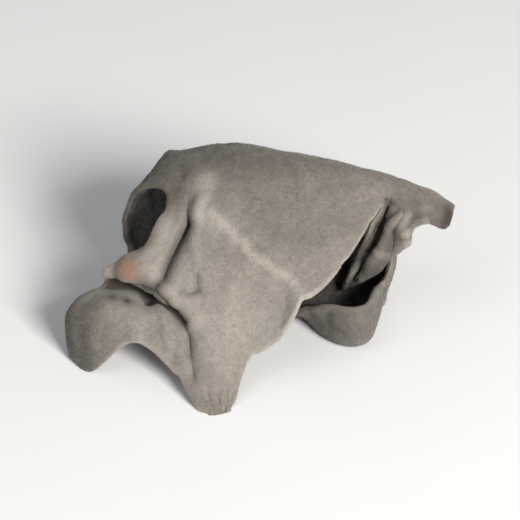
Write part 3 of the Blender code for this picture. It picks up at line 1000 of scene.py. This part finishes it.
class VelvetSettings(PropertyGroup):
    """Sizes of the hairs."""

    pieces: IntProperty(name="Pieces", description="Pieces that the velvet is made in", default=3, min=1)
    hairs: IntProperty(name="Hairs", description="Hairs in each piece", default=45000, min=100)
    length: FloatProperty(
        name="Length", description="Length of a hair", default=0.28 * MM, unit="LENGTH", precision=5
    )
    width: FloatProperty(
        name="Width",
        description="Width of a hair at its root",
        default=0.035 * MM,
        unit="LENGTH",
        precision=5,
    )
    lean: FloatProperty(
        name="Lean", description="How far a hair leans over", default=math.radians(65), subtype="ANGLE"
    )
    downhill: FloatProperty(name="Downhill", description="How strongly the hairs lie downhill", default=0.8)
    seed: IntProperty(name="Seed", description="Another number gives other hairs", default=7)


class StageSettings(PropertyGroup):
    """The floor, the light and the camera."""

    floor: FloatVectorProperty(
        name="Floor", description="Floor colour", default=(0.84, 0.84, 0.83), subtype="COLOR"
    )
    floor_size: FloatProperty(
        name="Floor size", description="Width of the floor", default=3.0, unit="LENGTH"
    )
    elevation: FloatProperty(
        name="Elevation",
        description="How far above level the camera looks down from",
        default=math.radians(35),
        subtype="ANGLE",
    )
    lens: FloatProperty(name="Lens", description="Focal length in millimetres", default=180.0, min=20.0)
    fill_share: FloatProperty(
        name="Share of frame",
        description="The part of the picture's width that the ear takes",
        default=0.76,
    )
    key_power: FloatProperty(
        name="Key light", description="Power of the main light", default=5.4, unit="POWER"
    )
    fill_power: FloatProperty(
        name="Fill light", description="Power of the fill light", default=0.8, unit="POWER"
    )
    sky: FloatProperty(name="Sky", description="Strength of the light from all round", default=0.25)


class EarSettings(PropertyGroup):
    """All that can be changed."""

    flesh: PointerProperty(type=FleshSettings)
    colours: PointerProperty(type=ColourSettings)
    velvet: PointerProperty(type=VelvetSettings)
    stage: PointerProperty(type=StageSettings)


# Operators


class EAR_OT_flesh(Operator):
    """Build the creased flesh that stands for the solid ear"""

    bl_idname = "wood_ear.flesh"
    bl_label = "Flesh"

    def execute(self, context):
        settings = context.scene.wood_ear
        mesh, shares = make_sheet(settings.flesh)
        piece = add_piece("ear_flesh", mesh)
        for finish in (velvet_skin, smooth_lining, dried_margin):
            mesh.materials.append(finish(settings.colours))
        piece.data = give_thickness(piece, shares, settings.flesh)
        bpy.data.meshes.remove(mesh)
        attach(piece, "root")
        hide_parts("ear")
        return {"FINISHED"}


class EAR_OT_velvet(Operator):
    """Cover the outer side of the flesh with fine matted hairs"""

    bl_idname = "wood_ear.velvet"
    bl_label = "Velvet"

    def execute(self, context):
        settings = context.scene.wood_ear
        skin = bpy.data.objects["ear_flesh"].data
        chance = np.random.default_rng(settings.velvet.seed)
        hair = matted_hair(settings.colours)
        for number in range(1, settings.velvet.pieces + 1):
            name = f"ear_velvet_{number}"
            piece = add_piece(name, hair_mesh(name, skin, settings.velvet, chance))
            piece.data.materials.append(hair)
            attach(piece, "root")
        return {"FINISHED"}


class EAR_OT_stage(Operator):
    """Lay a pale floor, light it softly and set the camera"""

    bl_idname = "wood_ear.stage"
    bl_label = "Stage"

    def execute(self, context):
        stage = context.scene.wood_ear.stage
        low, high = SOLID_BOX
        centre = (low + high) / 2
        make_floor(stage)
        set_camera(stage, centre, high.x - low.x)
        set_lights(stage, centre)
        context.scene.view_settings.view_transform = "Standard"
        return {"FINISHED"}


def make_floor(stage):
    mesh = bpy.data.meshes.new("floor")
    bm = bmesh.new()
    bmesh.ops.create_grid(bm, x_segments=1, y_segments=1, size=stage.floor_size / 2)
    bm.to_mesh(mesh)
    bm.free()
    mesh.materials.append(pale_floor(stage))
    add_piece("floor", mesh)


def set_camera(stage, centre, width):
    lens = bpy.data.cameras.new("camera")
    lens.lens = stage.lens
    camera = add_piece("camera", lens)
    back = Vector((0.0, -math.cos(stage.elevation), math.sin(stage.elevation)))
    distance = width / stage.fill_share * stage.lens / lens.sensor_width
    camera.location = centre + back * distance
    camera.rotation_euler = back.to_track_quat("Z", "Y").to_euler()
    lens.clip_start = distance * NEAREST
    lens.clip_end = stage.floor_size * FARTHEST
    bpy.context.scene.camera = camera


def add_light(name, centre, azimuth, elevation, distance, size, power, colour):
    """A soft square light that faces the ear. Azimuth 0 is the camera's side, and 90 is to the right."""
    light = bpy.data.lights.new(name, "AREA")
    light.size = size
    light.energy = power
    light.color = colour
    lamp = add_piece(name, light)
    turn, rise = math.radians(azimuth), math.radians(elevation)
    way = Vector((math.sin(turn) * math.cos(rise), -math.cos(turn) * math.cos(rise), math.sin(rise)))
    lamp.location = centre + way * distance
    lamp.rotation_euler = way.to_track_quat("Z", "Y").to_euler()


def set_lights(stage, centre):
    key = {"azimuth": 30, "elevation": 30, "distance": 0.6, "size": 0.2, "colour": (1.0, 0.985, 0.96)}
    fill = {"azimuth": -50, "elevation": 55, "distance": 0.7, "size": 0.5, "colour": (0.96, 0.98, 1.0)}
    add_light("key", centre, power=stage.key_power, **key)
    add_light("fill", centre, power=stage.fill_power, **fill)
    world = bpy.data.worlds.new("sky")
    world.use_nodes = True
    tree = world.node_tree
    feed(tree, tree.nodes["Background"], {"Color": (0.97, 0.985, 1.0, 1.0), "Strength": stage.sky})
    bpy.context.scene.world = world


class EAR_PT_sidebar(Panel):
    """The ear's settings and the buttons that build it"""

    bl_idname = "EAR_PT_sidebar"
    bl_label = "Wood ear"
    bl_space_type = "VIEW_3D"
    bl_region_type = "UI"
    bl_category = "Wood ear"

    def draw(self, context):
        settings = context.scene.wood_ear
        for group in ("flesh", "colours", "velvet", "stage"):
            box = self.layout.box()
            values = getattr(settings, group)
            for name in values.__annotations__:
                box.prop(values, name)
            if group != "colours":
                box.operator(f"wood_ear.{group}")


CLASSES = (
    FleshSettings,
    ColourSettings,
    VelvetSettings,
    StageSettings,
    EarSettings,
    EAR_OT_flesh,
    EAR_OT_velvet,
    EAR_OT_stage,
    EAR_PT_sidebar,
)


def register():
    for made in CLASSES:
        bpy.utils.register_class(made)
    bpy.types.Scene.wood_ear = PointerProperty(type=EarSettings)


def unregister():
    del bpy.types.Scene.wood_ear
    for made in reversed(CLASSES):
        bpy.utils.unregister_class(made)


def main():
    register()
    bpy.ops.wood_ear.flesh()
    bpy.ops.wood_ear.velvet()
    bpy.ops.wood_ear.stage()


if __name__ == "__main__":
    main()
